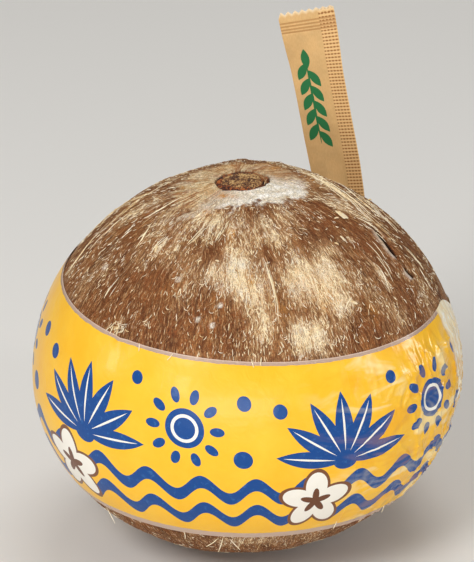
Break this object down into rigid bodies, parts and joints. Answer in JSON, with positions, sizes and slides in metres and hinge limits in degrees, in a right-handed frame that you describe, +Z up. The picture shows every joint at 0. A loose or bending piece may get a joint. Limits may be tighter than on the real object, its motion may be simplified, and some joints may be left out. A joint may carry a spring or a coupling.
{
  "type": "drinking coconut",
  "caption": "Peeled drinking coconut with coconut water inside, round plugged eye, printed film band and a straw in a paper wrapper tucked behind the film.",
  "frame": {"origin": "middle of the small flat spot that the nut rests on", "axes": "+Z up through the nut and its eye, -Y towards the printed front, +X to the right of the front"},
  "size_m": [0.1219, 0.121, 0.1377],
  "materials": {
    "shell_skin": "matte",
    "plug_fibre": "matte",
    "printed_film": "gloss",
    "kraft_paper": "matte"
  },
  "bodies": {
    "root": {"nut": "shell_skin", "eye_plug": "plug_fibre", "film_band": "printed_film", "straw_wrapper": "kraft_paper"}
  },
  "joints": []
}
